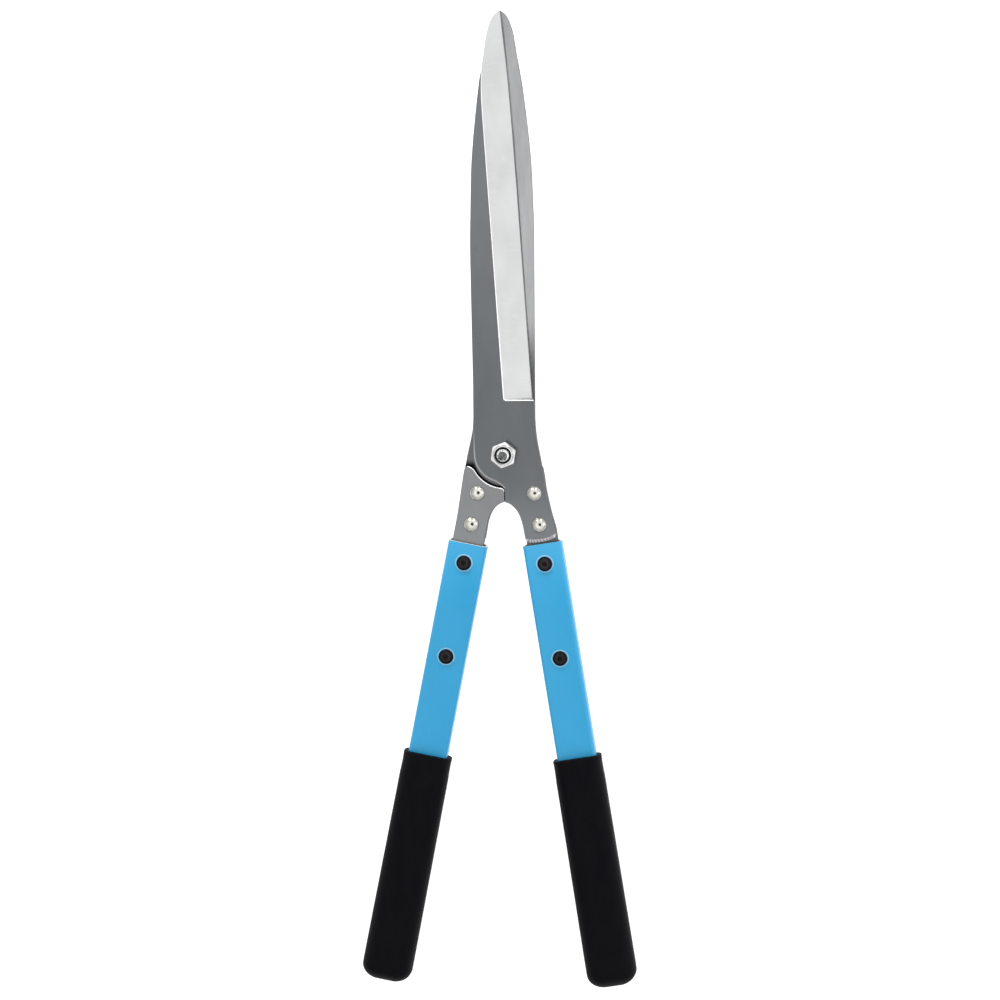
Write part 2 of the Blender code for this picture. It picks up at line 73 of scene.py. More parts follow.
# the softboxes: azimuth from +Y towards +X and elevation in degrees, width and height in
# metres, power in watts
SOFTBOX_DISTANCE = 4.0
SOFTBOXES = [("softbox_left", -22, 27, (0.65, 0.5), 40),
             ("softbox_right", 22, 27, (0.6, 0.45), 24),
             ("softbox_side", 84, 30, (1.2, 0.6), 9)]

# the floor: half its width and its drop below the shears in metres, its tone and glow
FLOOR_HALF = 6.0
FLOOR_DROP = 0.0003
FLOOR_TONE = 0.6
FLOOR_GLOW = 0.85

# where looks change along the shears, in metres from the pivot axis
# TIP_FADE and TANG_FADE spread the painted light at the blade's tip and the tang's end
TIP_FADE = (0.05, 0.19)
TANG_FADE = (-0.012, -0.05)
HONED_FADE = (0.045, 0.09)
# the ring of black painted shade on the honed face, standing in for a contact shadow: its radii
# and its fade below the pivot
SHADE_LINE_RADII = (0.0203, 0.0213)
SHADE_LINE_FADE = (-0.004, -0.007)
# the ring a screw's head presses into the paint, in metres from the screw's axis
PRESSED_INSIDE = (0.0048, 0.0051)
PRESSED_OUTSIDE = (0.0059, 0.0054)

# everything below is in millimetres

# worked edges of the flat pieces: a round, or a chamfer's width and depth
RIM_ROUND = 0.25
BOSS_CHAMFER = (0.9, 0.25)
STEP_CHAMFER = (0.55, 0.3)
TANG_END_CHAMFER = (2.0, 0.45)
TANG_CORNER = 2.4
PLATE_ARC_CHAMFER = (0.55, 0.3)
PLATE_STOP_CHAMFER = (0.4, 0.25)
PLATE_ROUND = 0.3
PACKING_ROUND = 0.3

# cleaning a copied mesh: points that are one, and degrees between faces that are one
WELD = 0.002
FLATNESS = 0.8

# how faces are told apart by the upright part of their normal, towards the outer side
FLAT_TILT = 0.999
BEVEL_TILTS = (0.95, 0.9985)
WALL_SLOPE = 0.2

# how edges are told apart: the plane of a face, the upright corners of a tang's end, the
# walls at the bevel's step, the boss round the pivot, and the plate's arc and stop that
# face the pivot
PLANE_PLAY = 0.01
UPRIGHT_LENGTH = 3.0
UPRIGHT_LEAN = 0.05
TANG_CORNER_REACH = 1.0
STEP_WALL = 3.6
BOSS_REACH = 24.0
BOSS_TOP = 8.0
BLADE_HOLE_REACH = 6.0
PLATE_HOLE_REACH = 4.0
PLATE_FACING = 0.3
PLATE_STOP_REACH = 1.6
PLATE_STOP_PLANE = 0.5
PLATE_ARC_END = -31.0

TUBE_CORNER = 2.6
TUBE_WALL = 1.2
TUBE_RIM = 0.35
TUBE_SPANS = 6

# grips: distance down from the lip's top and inset of each ring of the lip, then the
# insets of the rings of the rounded end
GRIP_TOP_WIDTH = 31.4
GRIP_CORNER = 10.2
GRIP_STEPS = 10
GRIP_BORE_PLAY = 0.6
GRIP_BORE_CORNER = 2.9
GRIP_BORE_EASE = 0.4
GRIP_LIP = [(0.0, 0.75), (0.12, 0.35), (0.35, 0.1), (0.8, 0.0), (3.0, 0.12), (6.0, 0.2),
            (12.0, 0.12)]
GRIP_BODY_START = 14.0
GRIP_BODY_STOP = 12.0
GRIP_BODY_SPANS = 30
GRIP_END_INSETS = [0.05, 0.15, 0.3, 0.5, 0.8, 1.1, 1.5, 2.0, 2.6, 3.3, 4.2, 5.2, 6.5, 8.0,
                   9.8, 11.5]
GRIP_END_ROUND = 11.0
GRIP_END_FULLNESS = 2.35
GRIP_SWELL = 0.12
GRIP_SWELL_SCALE = 28.0
GRIP_SKIN_RADIUS = 12.5
GRIP_LIP_LENGTH = 4.0

RIVET_HEAD = 2.5
RIVET_DOME = 2.1
RIVET_SHANK = 2.5
RIVET_DENT = 0.05
RIVET_DENT_SCALE = 0.55
RIVET_SEED_SCALE = 300

SCREW_HEAD = 2.75
SCREW_DOME = 2.15
SCREW_SHANK = 2.5
SCREW_SOCKET = 3.0
SCREW_SOCKET_DEPTH = 1.6
SCREW_CROWN = 3.3
SCREW_NUT_ACROSS = 8.0
SCREW_NUT_BORE = 2.6

PIVOT_ACROSS = 15.0
BOLT_HEAD = 6.4
BOLT_HEAD_FLAT = 7.2
BOLT_SHANK = 5.0
BOLT_SHANK_END = 19.0
THREAD_START = 20.2
THREAD_CREST = 4.1
THREAD_ROOT = 3.7
THREAD_PITCH = 0.9
THREAD_RUN_OUT = 1.4
PEENED_SPANS = 4
PEEN_SHIFT = 0.35
PEEN_DENT = 0.35
PEEN_DENT_SCALE = 1.3
PEEN_DENT_RADIUS = 3.2
PEEN_DENT_DEPTH = 0.6

NUT_TURN = 9.0
NUT_BORE = 5.3
NUT_FLAT = 7.3
NUT_HEX_HEIGHT = 5.6
LOCK_RING_SEAT = 3.4
LOCK_RING_RADIUS = 6.2
LOCK_RING_BORE = 4.45
LOCK_RING_EASE = 0.25
WASHER_EASE = 0.2

# the slopes in degrees at which a hexagon's corners are turned off
CORNER_FALL = 30.0
NUT_CROWN_FALL = 20.0

# points round a ring
ROUND = 64
ROUND_RIVET = 48
ROUND_PIVOT = 96


def centre(node):
    low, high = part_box(node)
    return (low + high) / 2


def middle_of(edge):
    return (edge.verts[0].co + edge.verts[1].co) / 2


# ---------------------------------------------------------------- materials

class Look:
    """A material under construction, with short calls for its nodes."""

    def __init__(self, name, colour, metallic, roughness):
        self.material = bpy.data.materials.new(name)
        self.material.use_nodes = True
        self.tree = self.material.node_tree
        self.shader = self.tree.nodes["Principled BSDF"]
        self.set("Base Color", (*colour, 1.0))
        self.set("Metallic", metallic)
        self.set("Roughness", roughness)
        self.place = self.tree.nodes.new("ShaderNodeTexCoord").outputs["Object"]

    def set(self, socket, value):
        self.shader.inputs[socket].default_value = value

    def link(self, output, socket):
        self.tree.links.new(output, socket)

    def mapped(self, scale, turn):
        """Object coordinates multiplied per axis (per millimetre) and turned about Z."""
        node = self.tree.nodes.new("ShaderNodeMapping")
        node.vector_type = "TEXTURE"
        node.inputs["Rotation"].default_value = (0, 0, math.radians(turn))
        node.inputs["Scale"].default_value = tuple(MM / s for s in scale)
        self.link(self.place, node.inputs["Vector"])
        return node.outputs["Vector"]

    def noise(self, scale, detail=3.0, rough=0.5, turn=0.0):
        """Noise whose features are 1 / scale millimetres long on each axis."""
        node = self.tree.nodes.new("ShaderNodeTexNoise")
        node.inputs["Scale"].default_value = 1.0
        node.inputs["Detail"].default_value = detail
        node.inputs["Roughness"].default_value = rough
        self.link(self.mapped(scale, turn), node.inputs["Vector"])
        return node.outputs["Fac"]

    def along(self, axis):
        """One object coordinate in metres."""
        node = self.tree.nodes.new("ShaderNodeSeparateXYZ")
        self.link(self.place, node.inputs["Vector"])
        return node.outputs[axis]

    def from_axis(self, place):
        """Distance in metres from the upright axis through a place."""
        node = self.tree.nodes.new("ShaderNodeVectorMath")
        node.operation = "MULTIPLY"
        node.inputs[1].default_value = (1, 1, 0)
        self.link(self.place, node.inputs[0])
        gap = self.tree.nodes.new("ShaderNodeVectorMath")
        gap.operation = "DISTANCE"
        gap.inputs[1].default_value = (place.x, place.y, 0)
        self.link(node.outputs["Vector"], gap.inputs[0])
        return gap.outputs["Value"]

    def ranged(self, value, low, high, to_low=0.0, to_high=1.0, smooth=False):
        """A value's range from low to high spread over another range, and clamped."""
        node = self.tree.nodes.new("ShaderNodeMapRange")
        node.interpolation_type = "SMOOTHSTEP" if smooth else "LINEAR"
        node.inputs["From Min"].default_value = low
        node.inputs["From Max"].default_value = high
        node.inputs["To Min"].default_value = to_low
        node.inputs["To Max"].default_value = to_high
        self.link(value, node.inputs["Value"])
        return node.outputs["Result"]

    def maths(self, operation, a, b):
        node = self.tree.nodes.new("ShaderNodeMath")
        node.operation = operation
        for socket, value in zip(node.inputs, (a, b)):
            if isinstance(value, (int, float)):
                socket.default_value = value
            else:
                self.link(value, socket)
        return node.outputs["Value"]

    def times(self, a, b):
        return self.maths("MULTIPLY", a, b)

    def mixed(self, share, one, other):
        """Two colours mixed by a share between 0 and 1."""
        node = self.tree.nodes.new("ShaderNodeMix")
        node.data_type = "RGBA"
        self.link(share, node.inputs["Factor"])
        sockets = [s for s in node.inputs if s.type == "RGBA"]
        for socket, colour in zip(sockets, (one, other)):
            if isinstance(colour, tuple):
                socket.default_value = (*colour, 1.0)
            else:
                self.link(colour, socket)
        return [s for s in node.outputs if s.type == "RGBA"][0]

    def colour(self, output):
        self.link(output, self.shader.inputs["Base Color"])

    def roughness(self, output):
        self.link(output, self.shader.inputs["Roughness"])

    def bump(self, height, strength, depth):
        """A bump of a depth in millimetres, laid over any bump already there."""
        node = self.tree.nodes.new("ShaderNodeBump")
        node.inputs["Strength"].default_value = strength
        node.inputs["Distance"].default_value = depth * MM
        self.link(height, node.inputs["Height"])
        earlier = self.shader.inputs["Normal"].links
        if earlier:
            self.link(earlier[0].from_socket, node.inputs["Normal"])
        self.link(node.outputs["Normal"], self.shader.inputs["Normal"])


def scratches(look, scale, turn, low, high):
    """Thin lines: a stretched noise cut near its top."""
    return look.ranged(look.noise(scale, 2.0, 0.4, turn), low, high)


def scaled(colour, share):
    return tuple(c * share for c in colour)


def satin_steel(name, colour, roughness=0.36, grain=(2.6, 0.05, 2.6), vary=0.07, tip_light_gain=0.0):
    """Steel with a fine satin grain, faint clouding and a few handling scratches.

    The gain says how much lighter it is at the blade's tip and the tang's end than round the
    pivot: painted light, standing in for the way the lamps fall on the blade.
    """
    look = Look(name, colour, 1.0, roughness)
    cloud = look.noise((0.05, 0.02, 0.05), 3.0)
    fine = look.noise(grain, 4.0, 0.6)
    marks = look.maths("MAXIMUM", scratches(look, (1.7, 0.06, 1.0), 31, 0.7, 0.74),
                       scratches(look, (1.5, 0.05, 1.0), -52, 0.71, 0.75))
    low, high = scaled(colour, 1 - vary), scaled(colour, 1 + vary)
    tone = look.mixed(look.ranged(cloud, 0.3, 0.7), low, high)
    tone = look.mixed(look.ranged(fine, 0.2, 0.8, 0.0, 0.35), tone, high)
    # painted light: the tip and the tang's end are lightened in the colour, not by the lamps
    if tip_light_gain:
        up = look.ranged(look.along("Y"), *TIP_FADE, smooth=True)
        down = look.ranged(look.along("Y"), *TANG_FADE, smooth=True)
        tone = look.mixed(look.maths("MAXIMUM", up, down), tone, scaled(colour, 1 + tip_light_gain))
    light = tuple(min(1.0, c) for c in scaled(colour, 1.35))
    look.colour(look.mixed(look.times(marks, 0.5), tone, light))
    wear = look.ranged(fine, 0.3, 0.7, roughness - 0.05, roughness + 0.05)
    look.roughness(look.maths("SUBTRACT", wear, look.times(marks, 0.1)))
    look.bump(fine, 0.12, 0.02)
    look.bump(marks, 0.15, -0.02)
    return look.material


def ground_steel():
    """The freshly ground bevel: bright, with fine grinding lines across the edge."""
    look = Look("ground_steel", (0.84, 0.85, 0.86), 1.0, 0.5)
    along_bevel = -3.4
    lines = look.noise((0.12, 5.0, 0.12), 4.0, 0.7, along_bevel)
    patches = look.noise((0.09, 0.35, 0.1), 4.0, 0.6, along_bevel)
    cloud = look.noise((0.06, 0.03, 0.06), 2.0)
    tone = look.mixed(look.ranged(cloud, 0.3, 0.7), (0.85, 0.865, 0.86), (0.95, 0.965, 0.96))
    tone = look.mixed(look.ranged(patches, 0.55, 0.75, 0.0, 0.5), tone, (0.97, 0.97, 0.98))
    tone = look.mixed(look.ranged(lines, 0.5, 0.8, 0.0, 0.25), tone, (0.66, 0.67, 0.68))
    look.colour(tone)
    look.roughness(look.ranged(lines, 0.3, 0.7, 0.42, 0.58))
    look.bump(lines, 0.3, 0.03)
    return look.material


def honed_steel():
    """The inner face of a blade: honed bright, darker and smoother near the pivot.

    Below the pivot a line of black painted shade, standing in for the contact shadow beside the
    tang plate, follows the edge of the other blade's boss.
    """
    look = Look("honed_steel", (0.6, 0.6, 0.61), 1.0, 0.22)
    lines = look.noise((4.0, 0.1, 1.0), 4.0, 0.7, 2.0)
    cloud = look.noise((0.08, 0.02, 0.06), 3.0)
    tone = look.mixed(look.ranged(cloud, 0.3, 0.7), (0.78, 0.785, 0.80), (0.93, 0.935, 0.95))
    near = look.ranged(look.along("Y"), *HONED_FADE, smooth=True)
    tone = look.mixed(near, (0.32, 0.322, 0.33), tone)
    # painted shade: a black line in the groove, standing in for the contact shadow at the tang
    # plate's wall
    shade_line = look.times(look.ranged(look.from_axis(Vector()), *SHADE_LINE_RADII),
                       look.ranged(look.along("Y"), *SHADE_LINE_FADE))
    look.colour(look.mixed(look.times(shade_line, 0.95), tone, (0.01, 0.01, 0.012)))
    wear = look.ranged(lines, 0.3, 0.7, 0.18, 0.26)
    look.roughness(look.times(wear, look.ranged(near, 0.0, 1.0, 0.5, 1.0)))
    look.bump(lines, 0.1, 0.02)
    return look.material


def plated(name, colour, tint, roughness, dent=0.03):
    """Bright plated metal with soft unevenness and tiny pits."""
    look = Look(name, colour, 1.0, roughness)
    wave = look.noise((0.5, 0.5, 0.5), 3.0)
    fine = look.noise((4.0, 4.0, 4.0), 3.0)
    look.colour(look.mixed(look.ranged(wave, 0.35, 0.65), colour, tint))
    look.roughness(look.ranged(fine, 0.3, 0.7, roughness - 0.06, roughness + 0.06))
    look.bump(wave, 0.35, dent)
    look.bump(fine, 0.12, 0.02)
    return look.material


def powder_paint():
    """Powder coat with a faint orange peel, pressed pale in a ring round each screw."""
    look = Look("blue_powder_coat", (0.024, 0.362, 0.665), 0.0, 0.42)
    peel = look.noise((1.1, 1.1, 1.1), 2.0)
    cloud = look.noise((0.03, 0.02, 0.03), 2.0)
    scuff = scratches(look, (0.9, 0.07, 0.9), 12, 0.69, 0.75)
    tone = look.mixed(look.ranged(cloud, 0.3, 0.7),
                      (0.0215, 0.346, 0.642), (0.0255, 0.373, 0.682))
    tone = look.mixed(look.times(scuff, 0.12), tone, (0.15, 0.42, 0.65))
    for side, _ in HANDLES:
        for level in LEVELS:
            away = look.from_axis(centre(f"{side}_{level}_screw"))
            ring = look.times(look.ranged(away, *PRESSED_INSIDE),
                              look.ranged(away, *PRESSED_OUTSIDE))
            tone = look.mixed(look.times(ring, 0.7), tone, (0.42, 0.72, 0.9))
    look.colour(tone)
    look.roughness(look.ranged(peel, 0.3, 0.7, 0.38, 0.47))
    look.bump(peel, 0.25, 0.03)
    look.set("Coat Weight", 0.15)
    look.set("Coat Roughness", 0.25)
    return look.material


def moulded(name, colour, lighter, roughness, grain=3.0, depth=0.03, gloss=0.3):
    """A dull black or grey skin, moulded or oxidised, with a fine even grain."""
    look = Look(name, colour, 0.0, roughness)
    fine = look.noise((grain, grain, grain), 3.0, 0.6)
    cloud = look.noise((0.12, 0.05, 0.12), 3.0)
    tone = look.mixed(look.ranged(cloud, 0.35, 0.65), colour, lighter)
    look.colour(look.mixed(look.ranged(fine, 0.55, 0.75, 0.0, 0.5), tone, lighter))
    look.roughness(look.ranged(cloud, 0.3, 0.7, roughness - 0.05, roughness + 0.05))
    look.set("Specular IOR Level", gloss)
    look.bump(fine, 0.4, depth)
    return look.material


body_steel = satin_steel("satin_steel", (0.21, 0.224, 0.236), tip_light_gain=0.34)
plate_steel = satin_steel("plate_steel", (0.345, 0.352, 0.362), 0.4, (2.0, 0.08, 2.0))
# painted highlight: the plate's chamfers that face the pivot are coloured near white, standing
# in for the light they catch
edge_highlight_steel = satin_steel("plate_edge_painted_highlight", (0.9, 0.9, 0.91))
# painted highlight: the chamfer at the ground bevel's step is coloured near white, standing in
# for the bright line the lamps make there
step_highlight_steel = satin_steel("step_line_painted_highlight", (0.97, 0.97, 0.98), tip_light_gain=-0.2)
# painted highlight: the boss's chamfer is coloured lighter than the body, standing in for the
# light on its rounded edge
boss_highlight_steel = satin_steel("boss_rim_painted_highlight", (0.42, 0.42, 0.44))
rim_steel = satin_steel("worn_rim", (0.16, 0.165, 0.17), 0.4)
# painted shade: the upright walls are coloured near black, standing in for the dark shadow lines
# along the edges of blades and plates
wall_shade_steel = satin_steel("sheared_wall_painted_shade", (0.035, 0.035, 0.04), 0.5, (0.4, 0.4, 3.0))
bevel_steel = ground_steel()
inner_steel = honed_steel()
land_steel = satin_steel("honed_land", (0.2, 0.2, 0.205), 0.3)
# painted highlight: the chamfer at the tang's end is coloured light, standing in for the bright
# band the lamps make on it
tang_end_highlight_steel = satin_steel("tang_end", (0.56, 0.55, 0.58), 0.4, (0.5, 0.5, 0.5))
zinc = plated("bright_zinc", (0.84, 0.85, 0.86), (0.96, 0.96, 0.96), 0.24)
nickel = plated("nickel", (0.64, 0.63, 0.57), (0.8, 0.785, 0.72), 0.12, 0.06)
peened_zinc = plated("peened_end", (0.05, 0.055, 0.055), (0.3, 0.31, 0.31), 0.5, 0.3)
bare_metal = plated("bare_tube_end", (0.6, 0.6, 0.58), (0.7, 0.69, 0.66), 0.35)
paint = powder_paint()
black_oxide = moulded("black_oxide", (0.004, 0.004, 0.006), (0.006, 0.006, 0.009), 0.5,
                      2.0, 0.02, 0.12)
worn_oxide = moulded("worn_oxide", (0.012, 0.011, 0.011), (0.032, 0.025, 0.027), 0.6,
                     0.9, 0.05, 0.15)
black_nylon = moulded("black_nylon", (0.008, 0.008, 0.009), (0.014, 0.014, 0.015), 0.45)
grey_nylon = moulded("grey_nylon", (0.12, 0.12, 0.12), (0.17, 0.17, 0.17), 0.55)
black_rubber = moulded("black_rubber", (0.0026, 0.0026, 0.0042), (0.0042, 0.004, 0.0055),
                       0.62, 1.6, 0.05, 0.06)

# the looks of a blade and of a tang plate, and each one's place in the list
BLADE_LOOKS = [body_steel, bevel_steel, inner_steel, wall_shade_steel, rim_steel, land_steel,
               tang_end_highlight_steel, boss_highlight_steel, step_highlight_steel]
BODY, BEVEL, INNER, WALL, RIM, LAND, TANG_END, BOSS, STEP = range(len(BLADE_LOOKS))
PLATE_LOOKS = [plate_steel, wall_shade_steel, edge_highlight_steel, rim_steel]
PLATE_FACE, PLATE_WALL, PLATE_EDGE, PLATE_RIM = range(len(PLATE_LOOKS))


# ---------------------------------------------------------------- pieces

def add_piece(name, bm, looks, body, nodes, place=None, sharp=38.0, flat=()):
    """An object that rides on a body and stands for some nodes.

    Its mesh is shaded smooth but for edges sharper than an angle and the flat looks' faces.
    """
    mesh = bpy.data.meshes.new(name)
    bmesh.ops.recalc_face_normals(bm, faces=bm.faces)
    bm.to_mesh(mesh)
    bm.free()
    mesh.shade_smooth()
    mesh.set_sharp_from_angle(angle=math.radians(sharp))
    for look in looks:
        mesh.materials.append(look)
    for face in mesh.polygons:
        if face.material_index in flat:
            face.use_smooth = False
    if place is not None:
        mesh.transform(place)
    piece = bpy.data.objects.new(name, mesh)
    bpy.context.scene.collection.objects.link(piece)
    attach(piece, body)
    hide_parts(*nodes)


def handle_place(side):
    """The matrix of a handle's frame."""
    upper = centre(side + "_upper_screw")
    lower = centre(side + "_lower_screw")
    y = Vector((upper.x - lower.x, upper.y - lower.y, 0)).normalized()
    z = Vector((0, 0, 1))
    place = Matrix((y.cross(z), y, z)).transposed().to_4x4()
    place.translation = (upper.x, upper.y, centre(side + "_handle_tube").z)
    return place


# ---------------------------------------------------------------- flat pieces

def cleaned(node):
    """An editable copy of a node's mesh, its triangles joined into plain faces."""
    bm = bmesh.new()
    bm.from_mesh(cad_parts[node].data)
    bmesh.ops.remove_doubles(bm, verts=bm.verts, dist=WELD * MM)
    bmesh.ops.dissolve_limit(bm, angle_limit=math.radians(FLATNESS), verts=bm.verts,
                             edges=bm.edges)
    bm.normal_update()
    for face in bm.faces:
        face.material_index = 0
    return bm


def rim_edges(bm, height, up):
    """Edges where the flat face at a height meets an upright wall."""
    found = []
    for edge in bm.edges:
        if len(edge.link_faces) != 2:
            continue
        if any(abs(v.co.z - height) > PLANE_PLAY * MM for v in edge.verts):
            continue
        tilts = sorted(f.normal.z * up for f in edge.link_faces)
        if tilts[1] > FLAT_TILT and abs(tilts[0]) < WALL_SLOPE:
            found.append(edge)
    return found


def wall_below(edge):
    return min(edge.link_faces, key=lambda f: abs(f.normal.z))


def still_there(edges):
    return [e for e in edges if e.is_valid]


def bevel(bm, edges, offset, segments, index):
    made = bmesh.ops.bevel(bm, geom=edges, offset=offset * MM, offset_type="OFFSET",
                           segments=segments, profile=0.5, affect="EDGES", clamp_overlap=False,
                           material=index, loop_slide=True)
    bm.normal_update()
    return made


def shallow_bevel(bm, edges, size, height, up, index):
    """A chamfer wider than it is deep along edges of the face at a height."""
    width, depth = size
    made = bevel(bm, edges, width, 1, index)
    for vert in made["verts"]:
        if abs(vert.co.z - height) > 0.6 * width * MM:
            vert.co.z = height - up * depth * MM
    bm.normal_update()


def near_axis(edge, places, reach):
    """True if an edge is within reach of one of the upright axes at some places."""
    middle = middle_of(edge)
    return any((middle.xy - Vector(p).xy).length < reach * MM for p in places)


def tang_corners(bm, inverse):
    """The upright edges at the two corners of a tang's end, by the handle's frame."""
    found = []
    for edge in bm.edges:
        ends = [inverse @ v.co for v in edge.verts]
        upright = abs(ends[0].z - ends[1].z) > UPRIGHT_LENGTH * MM
        if upright and (ends[0].xy - ends[1].xy).length < UPRIGHT_LEAN * MM:
            found.append((ends[0].y, edge))
    last = min(along for along, _ in found)
    return [edge for along, edge in found if along < last + TANG_CORNER_REACH * MM]


def blade_rims(bm, outer, up, inverse, holes):
    """The edges round a blade's outer face by kind, without those of its holes."""
    tang_end = min((inverse @ v.co).y for v in bm.verts) + TANG_CORNER * MM
    kinds = {STEP: [], BOSS: [], TANG_END: [], RIM: []}
    for edge in rim_edges(bm, outer, up):
        if near_axis(edge, holes, BLADE_HOLE_REACH):
            continue
        wall = wall_below(edge)
        middle = middle_of(edge)
        meets_bevel = any(f.material_index == BEVEL for e in wall.edges for f in e.link_faces)
        depth = max(abs(v.co.z - outer) for v in wall.verts)
        on_boss = middle.x * up < 0 and -BOSS_REACH * MM < middle.y < BOSS_TOP * MM
        if depth < STEP_WALL * MM and meets_bevel:
            kinds[STEP].append(edge)
        elif (inverse @ middle).y < tang_end:
            kinds[TANG_END].append(edge)
        elif on_boss and middle.xy.length < BOSS_REACH * MM:
            kinds[BOSS].append(edge)
        else:
            kinds[RIM].append(edge)
    return kinds


def add_blade(node, side, body, up, drilled):
    """A blade: satin body, ground bevel, honed inner face and worked outer edges."""
    low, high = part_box(node)
    outer = high.z if up > 0 else low.z
    inverse = handle_place(side).inverted()
    bm = cleaned(node)
    bevel(bm, tang_corners(bm, inverse), TANG_CORNER, 4, BODY)
    for face in bm.faces:
        tilt = face.normal.z * up
        if BEVEL_TILTS[0] < tilt < BEVEL_TILTS[1]:
            face.material_index = BEVEL
        elif tilt < -FLAT_TILT:
            face.material_index = INNER
        elif abs(tilt) < WALL_SLOPE:
            face.material_index = WALL
        elif tilt < BEVEL_TILTS[0]:
            face.material_index = LAND
    kinds = blade_rims(bm, outer, up, inverse, [centre(n) for n in drilled])
    for kind, size in ((TANG_END, TANG_END_CHAMFER), (BOSS, BOSS_CHAMFER), (STEP, STEP_CHAMFER)):
        shallow_bevel(bm, still_there(kinds[kind]), size, outer, up, kind)
    bevel(bm, still_there(kinds[RIM]), RIM_ROUND, 2, RIM)
    add_piece(node + "_steel", bm, BLADE_LOOKS, body, [node],
              flat=(BODY, BEVEL, INNER, TANG_END, STEP))


def faces_pivot(edge):
    """True for an edge of a tang plate's arc or stop, which face the pivot."""
    middle = middle_of(edge)
    inward = wall_below(edge).normal.xy.dot(-middle.xy.normalized()) > PLATE_FACING
    return ((inward or abs(middle.x) < PLATE_STOP_REACH * MM)
            and middle.y > PLATE_ARC_END * MM)


def add_plate(node, body, drilled):
    """A tang plate: a chamfer coloured bright as a painted highlight where it faces the pivot,
    eased edges elsewhere.
    """
    low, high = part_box(node)
    bm = cleaned(node)
    holes = [centre(n) for n in drilled]
    for face in bm.faces:
        if abs(face.normal.z) < WALL_SLOPE:
            face.material_index = PLATE_WALL
    for height, up in ((high.z, 1), (low.z, -1)):
        arc, stop, others = [], [], []
        for edge in rim_edges(bm, height, up):
            if near_axis(edge, holes, PLATE_HOLE_REACH):
                continue
            if not faces_pivot(edge):
                others.append(edge)
            elif all(abs(v.co.x) < PLATE_STOP_PLANE * MM for v in edge.verts):
                stop.append(edge)
            else:
                arc.append(edge)
        shallow_bevel(bm, arc, PLATE_ARC_CHAMFER, height, up, PLATE_EDGE)
        shallow_bevel(bm, still_there(stop), PLATE_STOP_CHAMFER, height, up, PLATE_EDGE)
        bevel(bm, still_there(others), PLATE_ROUND, 2, PLATE_RIM)
    add_piece(node + "_steel", bm, PLATE_LOOKS, body, [node], flat=(PLATE_FACE,))


def add_packing(side, body):
    """The block between plate and tube, its edges eased."""
    node = side + "_packing_block"
    low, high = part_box(node)
    bm = cleaned(node)
    for height, up in ((high.z, 1), (low.z, -1)):
        bevel(bm, rim_edges(bm, height, up), PACKING_ROUND, 2, 0)
    add_piece(side + "_packing", bm, [grey_nylon], body, [node])


# ---------------------------------------------------------------- lofted pieces

def bridge(bm, made, kinds):
    """Faces between neighbouring rings of vertices, with one look for each span."""
    for one, other, kind in zip(made, made[1:], kinds):
        for j in range(len(one)):
            k = (j + 1) % len(one)
            bm.faces.new((one[j], one[k], other[k], other[j])).material_index = kind


def loft(rings, kinds=None):
    """A solid through rings of points, with the first and last ring capped."""
    bm = bmesh.new()
    made = [[bm.verts.new(p) for p in ring] for ring in rings]
    kinds = kinds or [0] * (len(rings) - 1)
    bridge(bm, made, kinds)
    bm.faces.new(made[0]).material_index = kinds[0]
    bm.faces.new(made[-1]).material_index = kinds[-1]
    return bm


def ring_loft(rings, kinds=None):
    """A loft whose last ring joins its first, as on a tube, a nut or a washer."""
    bm = bmesh.new()
    made = [[bm.verts.new(p) for p in ring] for ring in rings]
    bridge(bm, made + made[:1], kinds or [0] * len(rings))
    return bm


def circle(radius, height, count):
    return [Vector((radius * math.cos(2 * math.pi * i / count) * MM,
                    radius * math.sin(2 * math.pi * i / count) * MM, height * MM))
            for i in range(count)]


def circles(profile, count):
    """A circle for each radius and height of a turned profile."""
    return [circle(radius, height, count) for radius, height in profile]


def hex_radius(across_flats, angle, power=30.0):
    """The radius at an angle of a hexagon with slightly rounded corners."""
    total = 0.0
    for k in range(6):
        away = math.cos(angle - math.radians(60 * k))
        if away > 0:
            total += (away / (across_flats / 2)) ** power
    return total ** (-1.0 / power)


def hexagon(across_flats, height, count, turn=0.0, chamfer_from=math.inf, fall=CORNER_FALL):
    """A hexagon ring. Beyond a chamfer's radius its points drop by a cone's slope."""
    points = []
    for i in range(count):
        angle = 2 * math.pi * i / count
        radius = hex_radius(across_flats, angle)
        drop = max(0.0, radius - chamfer_from) * math.tan(math.radians(fall))
        a = angle - math.radians(turn)
        points.append(Vector((radius * math.cos(a) * MM, radius * math.sin(a) * MM,
                              (height - drop) * MM)))
    return points


def rounded_ring(width, height, corner, along, steps=8):
    """A rounded rectangle across a handle at a distance along it."""
    points = []
    x = width / 2 - corner
    z = height / 2 - corner
    for sx, sz, start in ((1, 1, 0), (-1, 1, 90), (-1, -1, 180), (1, -1, 270)):
        for i in range(steps + 1):
            a = math.radians(start + 90 * i / steps)
            points.append(Vector(((sx * x + corner * math.cos(a)) * MM, along * MM,
                                  (sz * z + corner * math.sin(a)) * MM)))
    return points


def dome_profile(radius, height, base, steps):
    """Radius and height pairs from a dome's rim up to near its crown."""
    sphere = (radius ** 2 + height ** 2) / (2 * height)
    spread = math.asin(min(1.0, radius / sphere))
    pairs = []
    for i in range(steps + 1):
        a = spread * (1 - i / steps)
        pairs.append((max(sphere * math.sin(a), 0.02),
                      base + height - sphere + sphere * math.cos(a)))
    return pairs


def extent(node, place):
    """A node's lowest and highest corners in a frame, in millimetres."""
    inverse = place.inverted()
    points = [inverse @ v.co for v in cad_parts[node].data.vertices]
    low = Vector([min(p[i] for p in points) for i in range(3)])
    high = Vector([max(p[i] for p in points) for i in range(3)])
    return low / MM, high / MM


